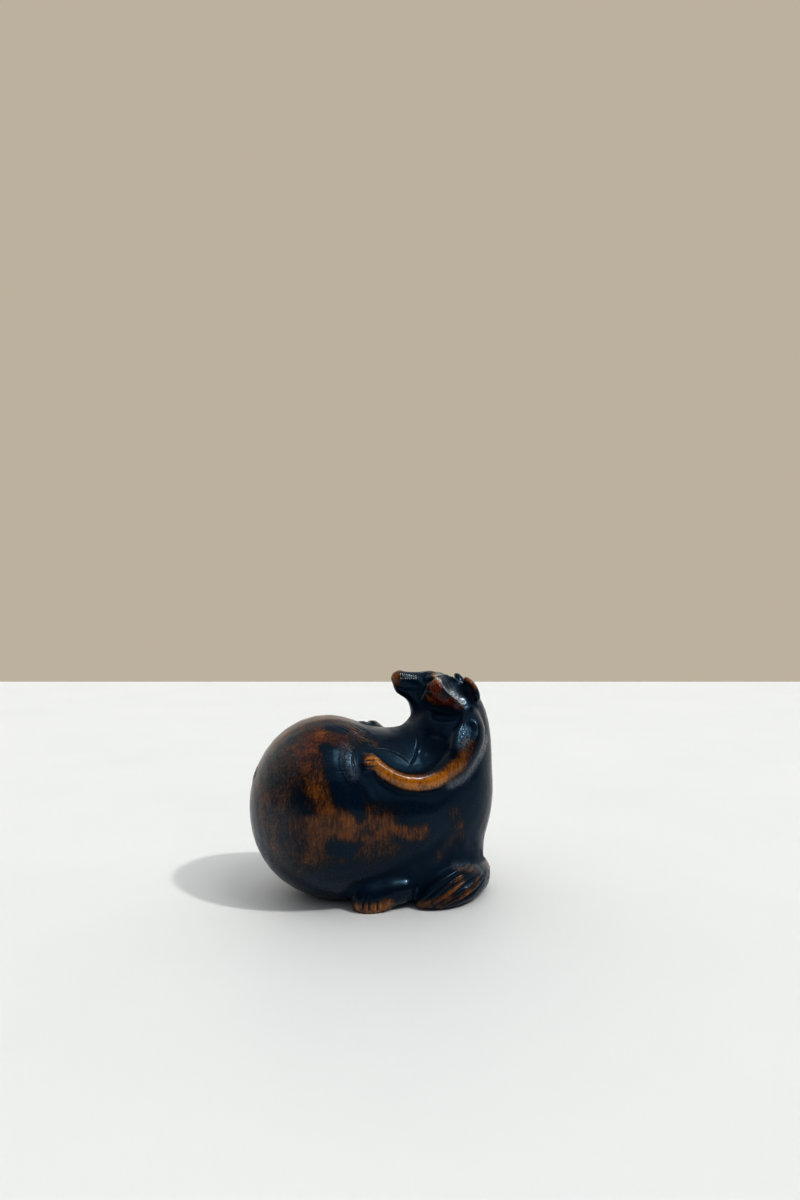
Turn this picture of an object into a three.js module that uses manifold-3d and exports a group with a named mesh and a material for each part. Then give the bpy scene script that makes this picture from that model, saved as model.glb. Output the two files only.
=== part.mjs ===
// A netsuke: a seated raccoon dog drumming on its huge round belly, carved from one piece of boxwood.
// Millimetres. +Z is up, the animal faces -Y, its left side is +X, and the table it sits on is z = 0.
//
// A part of the animal starts as "clay": a field, negative inside, of a few named masses blended together.
// A sphere's vertices are pushed out from a spine until they meet that field, which gives a closed skin.
// The skins are then joined and cut as a carver would: hollows with round gouges, hair and toes with thin strokes.
import * as THREE from "three";
import { mergeVertices } from "three/addons/utils/BufferGeometryUtils.js";
import Module from "manifold-3d";

const wasm = await Module();
wasm.setup();

const v = (x, y, z) => new THREE.Vector3(x, y, z);
const { degToRad, lerp, clamp } = THREE.MathUtils;
const LEFT = 1;
const RIGHT = -1;
const both = (make) => [make(LEFT), make(RIGHT)];

// ---- Driving dimensions ------------------------------------------------------------------------------------------
const BODY_BLEND = 3.0;
const HEAD_BLEND = 0.8;
const FOOT_BLEND = 1.2;
const FOOT_AT = { x: 9.2, y: -0.7, z: 1.5 };
const EYE_AT = { x: 2.2, y: 10.1, z: 36.4, radius: 0.75 };
const EAR_AT = { x: 3.75, y: 17.3, z: 34.7 };
const EAR_LEAN = degToRad(30);
const TOE_ANGLES = [2, 30, 58].map(degToRad);
const LOCKS = 6;
const LOCK_STEPS = 7;
const LOCK_WIDTH = 0.45;
const LIMB_STEPS = 24;
const SMALLEST_EDGE = 0.03;

// The arms' routes over the body, from shoulder to wrist: y, z, lift off the surface, and the arm's radius.
const LEFT_ARM = [
  [16.6, 29.9, -1.8, 2.2],
  [16.3, 27.7, -1.2, 3.0],
  [15.3, 25.3, -1.0, 3.0],
  [13.4, 22.9, -0.6, 2.7],
  [10.8, 21.2, -0.2, 2.2],
  [7.6, 20.4, 0.2, 1.8],
  [4.0, 20.9, 0.4, 1.5],
  [1.2, 22.3, 0.4, 1.4],
  [-0.4, 23.6, 0.2, 1.4],
];
const RIGHT_ARM = [
  [16.6, 29.9, -1.8, 2.2],
  [16.3, 27.7, -1.2, 3.0],
  [15.0, 25.3, -1.0, 3.0],
  [12.8, 23.2, -0.6, 2.7],
  [9.9, 22.2, -0.2, 2.2],
  [6.8, 22.9, 0.2, 1.8],
  [4.0, 24.6, 0.4, 1.5],
  [2.2, 26.4, 0.4, 1.35],
  [0.9, 27.5, 0.2, 1.35],
];
// Each finger runs from a knuckle to a tip, both as y, z and lift.
const FINGERS = [
  [LEFT, [-0.6, 24.7, 0.5], [-2.3, 24.8, 0.2]],
  [LEFT, [-0.6, 23.9, 0.7], [-2.6, 23.8, 0.3]],
  [LEFT, [-0.4, 23.1, 0.6], [-2.2, 22.8, 0.2]],
  [RIGHT, [0.2, 27.9, 0.3], [-1.4, 28.6, 0.1]],
  [RIGHT, [0.2, 27.3, 0.5], [-1.7, 27.7, 0.2]],
  [RIGHT, [0.3, 26.6, 0.3], [-1.4, 26.7, 0.2]],
];
const CHEST_FOLD = [
  [7.3, 27.0],
  [7.2, 25.2],
  [6.2, 23.2],
];
// The tail's centreline and radii, from the tip beside the left foot round the back to its root on the right.
const TAIL = [
  v(10.4, 7.0, 0.9),
  v(10.2, 8.6, 1.7),
  v(9.7, 10.8, 2.5),
  v(8.2, 13.9, 3.1),
  v(4.8, 16.8, 3.0),
  v(0, 18.1, 2.4),
  v(-4.4, 17.0, 2.0),
];
const TAIL_RADII = [0.8, 2.0, 3.0, 3.4, 3.3, 3.2, 2.0];
// The cord passage enters the right flank and leaves through the back.
const CORD_PATH = [v(-16, 6, 11.5), v(-10.5, 7.5, 11.5), v(-6.5, 11.5, 11.5), v(-5.5, 16, 11.5), v(-5, 24, 11.5)];
const CORD_RADII = [1.9, 1.7, 1.5, 1.5, 1.7];

// ---- Clay ----------------------------------------------------------------------------------------------------------
const ellipsoid = (centre, radii) => (p) => {
  const q = p.clone().sub(centre).divide(radii);
  const far = q.length();
  return (far * (far - 1)) / Math.max(q.divide(radii).length(), 1e-6);
};

const cone = (a, radiusA, b, radiusB) => (p) => {
  const axis = b.clone().sub(a);
  const t = clamp(p.clone().sub(a).dot(axis) / axis.lengthSq(), 0, 1);
  return p.distanceTo(a.clone().addScaledVector(axis, t)) - lerp(radiusA, radiusB, t);
};

const softMin = (a, b, k) => Math.min(a, b) - Math.max(k - Math.abs(a - b), 0) ** 2 / (4 * k);
const blend = (k, fields) => (p) => fields.map((f) => f(p)).reduce((a, b) => softMin(a, b, k));

// A limb follows a smooth curve, and its radius changes smoothly from one station to the next.
function limb(points, radii) {
  const centre = new THREE.CatmullRomCurve3(points).getPoints(LIMB_STEPS);
  const size = new THREE.CatmullRomCurve3(radii.map((r, i) => v(r, i, 0))).getPoints(LIMB_STEPS);
  const links = centre.slice(1).map((q, i) => cone(centre[i], size[i].x, q, size[i + 1].x));
  return (p) => Math.min(...links.map((link) => link(p)));
}

// ---- Skins: a sphere pushed out from a spine until it meets the clay ----------------------------------------------
const REACH = 40;
const FIRST_STEP = 0.02;
const HALVINGS = 22;

function surfaceAlong(field, from, direction) {
  const at = (distance) => field(from.clone().addScaledVector(direction, distance));
  let near = 0;
  let far = 0;
  while (far < REACH && at(far) < 0) {
    near = far;
    far += Math.max(-at(far) * 0.6, FIRST_STEP);
  }
  for (let i = 0; i < HALVINGS; i++) {
    const middle = (near + far) / 2;
    if (at(middle) < 0) near = middle;
    else far = middle;
  }
  return from.clone().addScaledVector(direction, far);
}

// Rings run along the spine and sides run around it. At each end, a share of the rings fans out as a cap.
function skin(field, spine, rings, sides, cap) {
  const curve = new THREE.CatmullRomCurve3(spine);
  const sphere = new THREE.SphereGeometry(1, sides, rings);
  const place = sphere.attributes.position;
  for (let i = 0; i < place.count; i++) {
    const around = Math.atan2(place.getX(i), place.getZ(i));
    const ring = Math.acos(clamp(place.getY(i), -1, 1)) / Math.PI;
    const along = clamp((ring - cap) / (1 - 2 * cap), 0, 1);
    const fan = ((Math.min(ring, cap, 1 - ring) / cap) * Math.PI) / 2;
    const back = curve.getTangentAt(along).negate();
    const side = back.clone().cross(v(0, 0, 1)).normalize();
    const up = side.clone().cross(back);
    const outward = side.multiplyScalar(Math.sin(around)).addScaledVector(up, Math.cos(around));
    const endward = back.multiplyScalar(ring < 0.5 ? 1 : -1);
    const direction = endward.multiplyScalar(Math.cos(fan)).addScaledVector(outward, Math.sin(fan));
    place.setXYZ(i, ...surfaceAlong(field, curve.getPointAt(along), direction.normalize()).toArray());
  }
  return solid(sphere);
}

// ---- Solids --------------------------------------------------------------------------------------------------------
function solid(geometry) {
  geometry.deleteAttribute("normal");
  geometry.deleteAttribute("uv");
  const merged = mergeVertices(geometry, 1e-4);
  return new wasm.Manifold(
    new wasm.Mesh({
      numProp: 3,
      vertProperties: merged.attributes.position.array,
      triVerts: new Uint32Array(merged.index.array),
    }),
  );
}

function geometryOf(manifold) {
  const mesh = manifold.getMesh();
  const geometry = new THREE.BufferGeometry();
  geometry.setAttribute("position", new THREE.BufferAttribute(mesh.vertProperties, 3));
  geometry.setIndex(new THREE.BufferAttribute(mesh.triVerts, 1));
  geometry.computeVertexNormals();
  return geometry;
}

// A ball is an ellipsoid, leaned back about the X axis. As a tool it is a round gouge.
function ball(centre, radii, lean = 0) {
  const sides = Math.round(8 + 1.4 * Math.max(radii.x, radii.y, radii.z));
  const sphere = new THREE.SphereGeometry(1, sides, Math.round(sides * 0.7)).scale(radii.x, radii.y, radii.z);
  return solid(sphere.rotateX(-lean).translate(centre.x, centre.y, centre.z));
}

const tube = (points, radii, rings, sides, cap = 0.1) => skin(limb(points, radii), points, rings, sides, cap);
const join = (first, ...rest) => rest.reduce((whole, part) => whole.add(part), first);
const cut = (whole, ...tools) => tools.reduce((left, tool) => left.subtract(tool), whole);

// ---- Body ----------------------------------------------------------------------------------------------------------
const bodyMasses = {
  belly: ellipsoid(v(0, -7.4, 15.15), v(14.0, 13.1, 15.15)),
  underbelly: ellipsoid(v(0, -2.8, 8.0), v(11.0, 10.5, 8.8)),
  flanks: ellipsoid(v(0, 3.0, 14.0), v(12.4, 14.0, 11.8)),
  chest: ellipsoid(v(0, 3.2, 19.0), v(9.4, 8.6, 8.5)),
  back: ellipsoid(v(0, 13.0, 17.5), v(9.4, 8.8, 15.0)),
  seat: ellipsoid(v(0, 9.3, 4.5), v(10.3, 10.6, 7.0)),
  nape: ellipsoid(v(0, 14.7, 27.2), v(6.0, 6.4, 9.0)),
};
const bodyClay = blend(BODY_BLEND, Object.values(bodyMasses));
const body = skin(bodyClay, [v(0, -8, 14.5), v(0, 3, 16), v(0, 12.8, 23)], 31, 36, 0.28);

// A point on the body's side at a given y and z, lifted off the surface along X.
function onBody(side, y, z, lift = 0) {
  const met = surfaceAlong(bodyClay, v(0, y, z), v(side, 0, 0));
  return v(met.x + side * lift, y, z);
}

const navel = ball(v(0, -20.3, 20.7), v(0.7, 1.3, 1.2));
const armpit = (side) => ball(v(side * 10.9, 9.4, 26.4), v(4.6, 3.9, 4.6));
const underRuff = (side) => ball(v(side * 7.4, 10.8, 31.1), v(3.4, 5.4, 1.7));
const chestFold = (side) => tube(CHEST_FOLD.map(([y, z]) => onBody(side, y, z)), [0.3, 0.4, 0.2], 8, 6);

// ---- Head ----------------------------------------------------------------------------------------------------------
const headMasses = {
  skull: ellipsoid(v(0, 13.2, 32.7), v(4.8, 5.4, 3.6)),
  brow: cone(v(0, 10.9, 35.9), 1.85, v(0, 13.4, 34.6), 1.75),
  muzzle: cone(v(0, 9.6, 35.3), 2.2, v(0, 6.1, 35.95), 1.65),
  nose: ellipsoid(v(0, 5.1, 36.5), v(1.5, 1.35, 1.3)),
  jaw: cone(v(0, 9.6, 33.4), 2.3, v(0, 5.5, 34.7), 1.15),
  throat: cone(v(0, 9.9, 29.5), 2.6, v(0, 9.7, 33.0), 2.6),
  leftCheek: ellipsoid(v(3.3, 12.6, 34.6), v(3.2, 3.9, 2.8)),
  rightCheek: ellipsoid(v(-3.3, 12.6, 34.6), v(3.2, 3.9, 2.8)),
};
const headClay = blend(HEAD_BLEND, Object.values(headMasses));
const head = skin(headClay, [v(0, 14.5, 33.6), v(0, 11, 34.2), v(0, 6.0, 35.6)], 29, 28, 0.3);

// The cheek ruff is the sharp rim left in front of the hollow that the ear stands in.
const behindRuff = (side) => ball(v(side * 6.4, 18.1, 39.6), v(5.4, 7.6, 7.6));
const eyeSocket = (side) => ball(v(side * 3.2, 9.7, 36.6), v(1.4, 1.3, 1.0));
const mouth = ball(v(0, 3.9, 35.25), v(2.2, 1.9, 0.2), degToRad(9));

const eye = (side) => ball(v(side * EYE_AT.x, EYE_AT.y, EYE_AT.z), v(1, 1, 1).multiplyScalar(EYE_AT.radius));
const ear = (side) => {
  const leaf = ball(v(side * EAR_AT.x, EAR_AT.y, EAR_AT.z), v(1.7, 1.05, 2.6), -EAR_LEAN);
  const hollow = ball(v(side * (EAR_AT.x + 0.8), EAR_AT.y - 1.0, EAR_AT.z - 0.1), v(1.5, 1.2, 1.9), -EAR_LEAN);
  return cut(leaf, hollow);
};

// ---- Arms and hands: they lie on the body's own surface -----------------------------------------------------------
const arm = (side, route) => {
  const points = route.map(([y, z, lift]) => onBody(side, y, z, lift));
  const radii = route.map(([, , , radius]) => radius);
  return tube(points, radii, 18, 10);
};
const finger = ([side, knuckle, tip]) =>
  tube([onBody(side, ...knuckle), onBody(side, ...tip)], [0.65, 0.5], 5, 6, 0.25);

// ---- Feet ----------------------------------------------------------------------------------------------------------
const footClay = (side) =>
  blend(FOOT_BLEND, [
    ellipsoid(v(side * FOOT_AT.x, FOOT_AT.y, FOOT_AT.z), v(2.6, 3.5, 3.5)),
    cone(v(side * 8.9, 2.4, 2.8), 2.6, v(side * 8.7, 4.3, 2.9), 2.5),
  ]);
const foot = (side) =>
  skin(footClay(side), [v(side * 9.2, -1.5, 1.7), v(side * 8.9, 1.6, 2.4), v(side * 8.7, 4.4, 2.9)], 15, 16, 0.25);
const toeCuts = (side) =>
  TOE_ANGLES.map((angle) => {
    const out = v(side * Math.sin(angle), -Math.cos(angle), 0);
    const from = (z) => v(side * FOOT_AT.x, FOOT_AT.y - 0.6, z);
    const points = [0, 1.0, 2.4].map((z) => surfaceAlong(footClay(side), from(z), out));
    return tube(points, [0.4, 0.35, 0.1], 5, 5);
  });

// ---- Tail ----------------------------------------------------------------------------------------------------------
const tailClay = limb(TAIL, TAIL_RADII);
const tailCurve = new THREE.CatmullRomCurve3(TAIL);

// The locks of hair fan out from the tip: each parting starts at the table and sweeps up and back over the tail.
function lockCut(i) {
  const order = i / (LOCKS - 1);
  const start = 0.03 + 0.45 * order;
  const end = 0.85 - 0.45 * (1 - order) ** 2;
  const points = Array.from({ length: LOCK_STEPS }, (_, n) => {
    const share = n / (LOCK_STEPS - 1);
    const along = lerp(start, end, share);
    const climb = degToRad(lerp(-35, 88 - 76 * order, share));
    const tangent = tailCurve.getTangentAt(along);
    const outward = v(tangent.y, -tangent.x, 0).normalize();
    const direction = outward.multiplyScalar(Math.cos(climb)).add(v(0, 0, Math.sin(climb)));
    return surfaceAlong(tailClay, tailCurve.getPointAt(along), direction);
  });
  const radii = points.map((_, n) => LOCK_WIDTH * (0.3 + 0.7 * Math.sin((Math.PI * (n + 0.5)) / LOCK_STEPS)));
  return tube(points, radii, 9, 4, 0.08);
}
const tail = cut(skin(tailClay, TAIL, 20, 20, 0.12), ...Array.from({ length: LOCKS }, (_, i) => lockCut(i)));

// ---- The carving ---------------------------------------------------------------------------------------------------
const cordPassage = tube(CORD_PATH, CORD_RADII, 9, 11);
const belowTable = solid(new THREE.BoxGeometry(80, 80, 20).translate(0, 0, -10));

const trunk = cut(body, navel, ...both(armpit), ...both(chestFold));
const face = cut(head, ...both(behindRuff), ...both(eyeSocket), mouth);
const bust = cut(join(trunk, face), ...both(underRuff));
const whole = join(
  bust,
  ...both(ear),
  ...both(eye),
  arm(LEFT, LEFT_ARM),
  arm(RIGHT, RIGHT_ARM),
  ...FINGERS.map(finger),
  ...both(foot),
  tail,
);
const carved = cut(whole, ...both(toeCuts).flat(), cordPassage, belowTable).simplify(SMALLEST_EDGE);
// Only the figure is kept, without the chips that the strokes leave behind.
const kept = carved.decompose().reduce((a, b) => (a.volume() > b.volume() ? a : b));

// The row's origin is the middle of the figure's box in plan, on the table.
const { min, max } = kept.boundingBox();
const centred = kept.translate(-(min[0] + max[0]) / 2, -(min[1] + max[1]) / 2, 0);

const figure = new THREE.Mesh(
  geometryOf(centred),
  new THREE.MeshStandardMaterial({ color: 0x2b1a12, roughness: 0.35, metalness: 0 }),
);
figure.name = "raccoon_dog_figure";

const netsuke = new THREE.Group();
netsuke.add(figure);
export default netsuke;
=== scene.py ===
# %% [markdown]
# # A netsuke: a raccoon dog drumming on its belly
#
# A netsuke is the toggle that holds a pouch at a sash. This one is carved from a single block of
# boxwood, stained near black, and rubbed back to the orange wood by years of hands. The solid that
# we load already has the pose, the outline and the main cuts. This lesson does what a carver does
# next: it softens the facets, cuts the fine lines, and finishes the wood. The form could be
# modelled again from nothing, but then it would drift from the solid. So we work on a copy of it.

import math

import bmesh
import bpy
import numpy as np
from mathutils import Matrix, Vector, noise
from mathutils.bvhtree import BVHTree
from mathutils.kdtree import KDTree


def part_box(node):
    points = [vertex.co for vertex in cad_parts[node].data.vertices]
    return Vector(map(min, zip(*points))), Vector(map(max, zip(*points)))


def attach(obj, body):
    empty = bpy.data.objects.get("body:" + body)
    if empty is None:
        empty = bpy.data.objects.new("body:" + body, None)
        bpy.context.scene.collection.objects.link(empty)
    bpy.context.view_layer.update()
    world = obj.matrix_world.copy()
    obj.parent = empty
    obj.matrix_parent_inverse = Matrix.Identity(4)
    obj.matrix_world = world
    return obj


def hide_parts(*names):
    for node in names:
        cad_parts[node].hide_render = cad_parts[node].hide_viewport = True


MM = 0.001  # lengths below are in millimetres until they reach a mesh, unless they say metres
FIGURE = "raccoon_dog_figure"
LEFT, RIGHT = 1, -1  # the animal faces -Y, so its left side is +X
BOTH_SIDES = (LEFT, RIGHT)

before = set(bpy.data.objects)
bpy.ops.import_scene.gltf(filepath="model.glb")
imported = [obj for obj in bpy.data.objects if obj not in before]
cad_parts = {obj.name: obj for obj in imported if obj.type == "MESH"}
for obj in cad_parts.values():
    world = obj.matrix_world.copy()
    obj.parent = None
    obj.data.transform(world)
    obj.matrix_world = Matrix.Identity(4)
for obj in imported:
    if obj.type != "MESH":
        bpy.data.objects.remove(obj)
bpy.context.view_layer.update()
low, high = (np.array(corner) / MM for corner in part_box(FIGURE))
print("the solid is", np.round(high - low, 2), "mm")

# %% [markdown]
# ## Clay
#
# The solid is a net of long triangles. A voxel remesh turns it into an even skin of small squares,
# like clay pressed over a core, which can then be moved point by point. Subdividing the triangles
# would be quicker, but they are slivers along every cut, and slivers shade badly.

# %% A copy of the solid, pressed into clay
VOXEL = 0.36
SAME_PLACE = 1e-6  # metres: corners nearer than this are one corner


def merged(mesh):
    """The mesh with its loose triangles joined at their corners."""
    bm = bmesh.new()
    bm.from_mesh(mesh)
    bmesh.ops.remove_doubles(bm, verts=bm.verts, dist=SAME_PLACE)
    return bm


def placed(name, data):
    """A new object in the scene, at the origin."""
    thing = bpy.data.objects.new(name, data)
    bpy.context.scene.collection.objects.link(thing)
    return thing


def clay_from(node_name, name):
    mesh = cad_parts[node_name].data.copy()
    bm = merged(mesh)
    bm.to_mesh(mesh)
    bm.free()
    rough = placed("rough", mesh)
    remesh = rough.modifiers.new("clay", "REMESH")
    remesh.mode = "VOXEL"
    remesh.voxel_size = VOXEL * MM
    depsgraph = bpy.context.evaluated_depsgraph_get()
    skin = bpy.data.meshes.new_from_object(rough.evaluated_get(depsgraph))
    bpy.data.objects.remove(rough)
    skin.name = name
    return placed(name, skin)


netsuke = clay_from(FIGURE, "carved_raccoon_dog")
mesh = netsuke.data
print("the clay has", len(mesh.polygons), "squares")

# %% [markdown]
# ## Smoothing
#
# On the real carving the broad forms are scraped and polished until no flat is left, while the
# cuts stay crisp. The solid tells us where its cuts are: along them its faces meet at a sharp
# angle. Each point of the clay moves to the middle of its neighbours, but the nearer it is to such
# an edge, the less it moves. A step back after each step forward keeps the form from shrinking,
# which plain smoothing would do. A loop over fifty thousand points would be slow, so they go in
# and out of the mesh as arrays, and one sum moves them all.


# %% Points, normals and neighbours as arrays
def points_of(mesh):
    flat = np.empty(len(mesh.vertices) * 3, np.float32)
    mesh.vertices.foreach_get("co", flat)
    return flat.reshape(-1, 3).astype(float) / MM


def put_points(mesh, points):
    mesh.vertices.foreach_set("co", (points * MM).astype(np.float32).ravel())
    mesh.update()


def normals_of(mesh):
    flat = np.empty(len(mesh.vertices) * 3, np.float32)
    mesh.vertex_normals.foreach_get("vector", flat)
    return flat.reshape(-1, 3).astype(float)


class Web:
    """The edges of a mesh, for averaging a value over each point's neighbours."""

    def __init__(self, mesh):
        pairs = np.empty(len(mesh.edges) * 2, np.int32)
        mesh.edges.foreach_get("vertices", pairs)
        pairs = pairs.reshape(-1, 2)
        self.here = np.concatenate([pairs[:, 0], pairs[:, 1]])
        self.there = np.concatenate([pairs[:, 1], pairs[:, 0]])
        self.count = len(mesh.vertices)
        self.degree = np.maximum(np.bincount(self.here, minlength=self.count), 1)

    def mean(self, values):
        columns = np.atleast_2d(values.T)
        sums = [np.bincount(self.here, c[self.there], self.count) / self.degree for c in columns]
        return np.array(sums).T.reshape(values.shape)


def smoothstep(edge0, edge1, x):
    t = np.clip((x - edge0) / (edge1 - edge0), 0, 1)
    return t * t * (3 - 2 * t)


# %% Where the solid's cuts are
CUT_ANGLE = math.radians(39)
SAMPLE = 0.12  # the distance between two of the points


def cuts_of(node_name):
    """Points along every sharp edge of the solid, in a tree that finds the nearest."""
    bm = merged(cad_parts[node_name].data)
    found = []
    for edge in bm.edges:
        if edge.is_manifold and edge.calc_face_angle() > CUT_ANGLE:
            start, end = (v.co / MM for v in edge.verts)
            count = max(2, round((end - start).length / SAMPLE))
            found += [start.lerp(end, i / count) for i in range(count + 1)]
    bm.free()
    tree = KDTree(len(found))
    for i, place in enumerate(found):
        tree.insert(place, i)
    tree.balance()
    return tree


cuts = cuts_of(FIGURE)
from_cuts = np.array([cuts.find(p)[2] for p in points_of(mesh)])
print("points on the cuts or beside them:", int((from_cuts < VOXEL).sum()))

# %% Polish the broad forms, then ease the cuts
POLISH_ROUNDS, POLISH_SHARE = 70, 0.55
STEP_BACK = 1.03  # times the step forward
EASE_ROUNDS, CUT_EASE, CALM_EASE = 2, 0.2, 0.3
CRISP, CALM = 0.15, 0.75  # distance from a cut where smoothing starts, and where it is full


def smooth(mesh, rounds, share, step_back=0.0):
    """Each round, move every point a share of the way to the middle of its neighbours."""
    web, points = Web(mesh), points_of(mesh)
    share = np.broadcast_to(share, web.count)[:, None]
    for _ in range(rounds):
        points += share * (web.mean(points) - points)
        if step_back:
            points -= step_back * share * (web.mean(points) - points)
    put_points(mesh, points)


calm = smoothstep(CRISP, CALM, from_cuts)
smooth(mesh, POLISH_ROUNDS, POLISH_SHARE * calm, STEP_BACK)
smooth(mesh, EASE_ROUNDS, CUT_EASE + CALM_EASE * calm)
print("share of the surface that is calm:", round(float(calm.mean()), 3))

# %% [markdown]
# ## Strokes
#
# Fur, wrinkles, toes and lids are single strokes of a small gouge or burin. A stroke here is a
# route over the surface with a width and a depth, thin at both ends. The route could be typed in
# with three coordinates for each place, but it would float off the wood with every change. So we
# give places as they look from one side, such as y and z from the left, draw a smooth curve
# through them, and drop that curve onto the surface with rays.

# %% Routes that lie on the surface
FAR = 60.0  # rays start this far out
ROUTE_STEPS = 10  # points on a route from one place to the next
TINY = 1e-12


def tree_of(mesh):
    """The surface as rays find it. It is made anew after each change of shape."""
    bm = bmesh.new()
    bm.from_mesh(mesh)
    tree = BVHTree.FromBMesh(bm)
    bm.free()
    return tree


wood = tree_of(mesh)


def drop(starts, direction):
    """Where rays from the starts meet the wood. A ray that misses it is left out."""
    hits = [wood.ray_cast(Vector(start) * MM, Vector(direction))[0] for start in starts]
    return np.array([hit for hit in hits if hit is not None]) / MM


def curve(places):
    """A smooth route through the places, as Catmull and Rom draw it."""
    p = np.array(places, float)
    p = np.vstack([2 * p[0] - p[1], p, 2 * p[-1] - p[-2]])
    t = np.linspace(0, 1, ROUTE_STEPS, endpoint=False)[:, None]
    parts = []
    for a, b, c, d in zip(p, p[1:], p[2:], p[3:]):
        square, cube = 2 * a - 5 * b + 4 * c - d, 3 * b - a - 3 * c + d
        parts.append(0.5 * (2 * b + (c - a) * t + square * t**2 + cube * t**3))
    return np.vstack([*parts, p[-2:-1]])


def on_side(side, places):
    return drop([(side * FAR, y, z) for y, z in curve(places)], (-side, 0, 0))


def from_above(places):
    return drop([(x, y, FAR) for x, y in curve(places)], (0, 0, -1))


def from_behind(places):
    return drop([(x, FAR, z) for x, z in curve(places)], (0, -1, 0))


def from_front(places):
    return drop([(x, -FAR, z) for x, z in curve(places)], (0, 1, 0))


def distance_to(route, points):
    """How far each point is from a route, and how far along it, from 0 to 1."""
    nearest = np.full(len(points), np.inf)
    along = np.zeros(len(points))
    for i, (start, end) in enumerate(zip(route, route[1:])):
        step = end - start
        t = np.clip((points - start) @ step / max(step @ step, TINY), 0, 1)
        away = np.linalg.norm(points - start - t[:, None] * step, axis=1)
        closer = away < nearest
        nearest[closer] = away[closer]
        along[closer] = (i + t[closer]) / (len(route) - 1)
    return nearest, along


def near_route(route, points, reach):
    """Which points are in the box round a route, so that the others need no measuring."""
    inside = (points > route.min(0) - reach) & (points < route.max(0) + reach)
    return np.flatnonzero(inside.all(1))


# %% [markdown]
# ## Landmarks
#
# A carver pencils the main lines on the block before cutting. These are ours: the features that
# several strokes, forms and worn places start from, so that each is named once and a change here
# moves everything that belongs to it.

# %% Landmarks, as y and z seen from the side
NOSE = (3.4, 36.4)
EYE = (9.25, 36.45)
WHISKERS = ((4.7, 36.96), (7.3, 36.7))
MOUTH = [(3.5, 35.0), (5.2, 34.7), (6.9, 34.75), (7.8, 35.1)]
RUFF_RIDGE = [
    *((10.3, 36.9), (10.3, 36.2), (10.7, 35.3), (11.5, 34.3)),
    *((12.7, 33.3), (14.3, 32.4), (15.3, 32.2)),
]
RUFF_FRONT = [(9.9, 36.7), (9.4, 35.8), (8.8, 34.2), (8.6, 32.9)]
RUFF_FOOT = [(8.8, 32.3), (9.9, 32.3), (12.0, 31.6), (13.5, 31.6), (14.6, 32.0)]
RUFF_FACET = [(10.0, 36.3), (9.9, 34.9), (10.4, 33.6), (11.8, 32.7), (13.4, 32.1)]
DISH = [(11.5, 36.4), (12.2, 35.3), (13.3, 34.2), (14.2, 33.3)]
LEFT_ARM = [  # from the shoulder to the hand
    *((14.6, 27.0), (14.4, 25.0), (12.6, 22.8), (10.2, 20.9)),
    *((7.0, 20.1), (3.4, 20.7), (0.6, 22.3), (-1.4, 23.9)),
]
RIGHT_ARM = [
    *((14.6, 27.0), (14.4, 25.0), (12.2, 23.2), (9.3, 22.2)),
    *((6.2, 22.8), (3.4, 24.5), (1.5, 26.3), (0.2, 27.4)),
]
LEFT_HAND, RIGHT_HAND = (-1.4, 23.9), (0.0, 27.4)
CREASE = [(6.8, 27.2), (6.8, 26.2), (6.6, 25.2), (6.0, 24.0), (4.8, 22.7)]
WELT = [  # the skin that swells round the fingertips
    *((-1.0, 26.3), (-2.7, 26.8), (-4.3, 26.3), (-5.1, 25.2)),
    *((-5.1, 23.5), (-4.2, 21.7), (-3.1, 20.3), (-2.4, 18.9)),
]


def blended(first, last, share):
    """The place between two places, or the route between two routes."""
    return (1 - share) * np.array(first, float) + share * np.array(last, float)


def shifted(places, dy, dz):
    return [(y + dy, z + dz) for y, z in places]


def ring(centre, half_length, half_height, start, stop, steps=9):
    y, z = centre
    turns = np.radians(np.linspace(start, stop, steps))
    return [(y + half_length * math.cos(a), z + half_height * math.sin(a)) for a in turns]


print("the left arm is", len(LEFT_ARM), "places, and its route", len(curve(LEFT_ARM)), "points")


# %% [markdown]
# ## One stroke
#
# The edge of a gouge leaves a rounded groove and throws up a slight burr beside it. A modelled
# tube could be cut away for each stroke, but hundreds of those are slow and break on thin walls.
# Here every point near the route sinks along its own normal instead, deepest in the middle.


# %% A stroke and its cut
class Stroke:
    """A cut along a route, thin at both ends unless even. A negative depth raises a ridge."""

    REACH = 2.5  # how far a cut and its burr go, in stroke widths
    END_WIDTH = 0.4  # the share of the width that is left at a thin end
    LIP_PLACE, LIP_WIDTH = 1.35, 0.45  # where the burr is and how wide, in stroke widths

    def __init__(self, route, width, depth, lip=0.0, even=False):
        self.route, self.width, self.depth = route, width, depth
        self.lip, self.even = lip, even

    def cut(self, points, normals):
        near = near_route(self.route, points, self.width * self.REACH)
        away, along = distance_to(self.route, points[near])
        taper = np.sqrt(np.sin(np.pi * np.clip(along, 0.02, 0.98)))
        if self.even:
            taper = np.ones(len(near))
        width = self.width * (self.END_WIDTH + (1 - self.END_WIDTH) * taper)
        groove = smoothstep(1, 0, away / width)
        lip = np.exp(-(((away - self.LIP_PLACE * width) / (self.LIP_WIDTH * width)) ** 2))
        depth = self.depth * taper * (groove - self.lip * lip)
        points[near] -= normals[near] * depth[:, None]


def carve(mesh, strokes):
    points, normals = points_of(mesh), normals_of(mesh)
    for stroke in strokes:
        stroke.cut(points, normals)
    put_points(mesh, points)


# %% [markdown]
# ## Broad forms
#
# Before the fine lines come the hollows and swellings that give them their ground: the socket of
# the eye, the dish behind the cheek fur, the chest's hollow, and the skin that swells where the
# hands press the belly. They are wide strokes of the same kind, as a large gouge makes them, and
# they need no finer squares. The rims of the two cord holes are worn round by the cord, and the
# left shoulder is pared to a small flat, which catches the light.

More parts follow.
